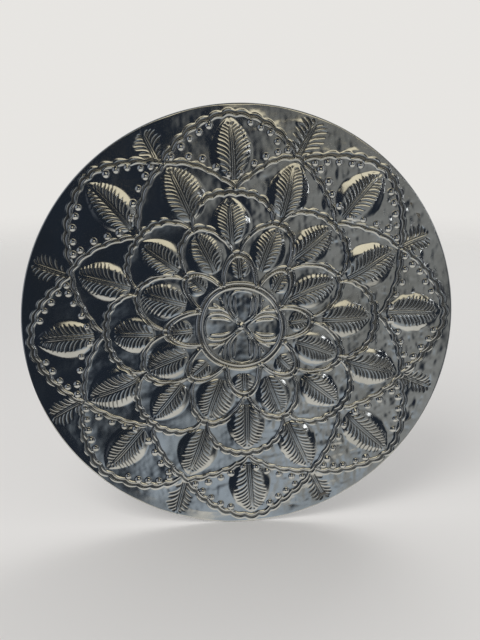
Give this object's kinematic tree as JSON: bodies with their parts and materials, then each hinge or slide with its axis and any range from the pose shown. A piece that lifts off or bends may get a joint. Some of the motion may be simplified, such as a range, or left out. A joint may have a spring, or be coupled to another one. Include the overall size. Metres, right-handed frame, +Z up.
{
  "type": "embossed metal wall disc",
  "caption": "Round wall disc of polished dark sheet metal, embossed with rings of feathered leaves, scalloped petals and beads round a flower.",
  "frame": {"origin": "centre of the flat back of the folded edge", "axes": "+Z up, the embossed face looks along -Y, the flat back looks along +Y, +X to the right seen from the front"},
  "size_m": [0.43, 0.0041, 0.43],
  "materials": {
    "polished_sheet": "polished",
    "ring_steel": "satin"
  },
  "bodies": {
    "root": {"embossed_sheet": "polished_sheet", "edge_ring": "ring_steel"}
  },
  "joints": []
}
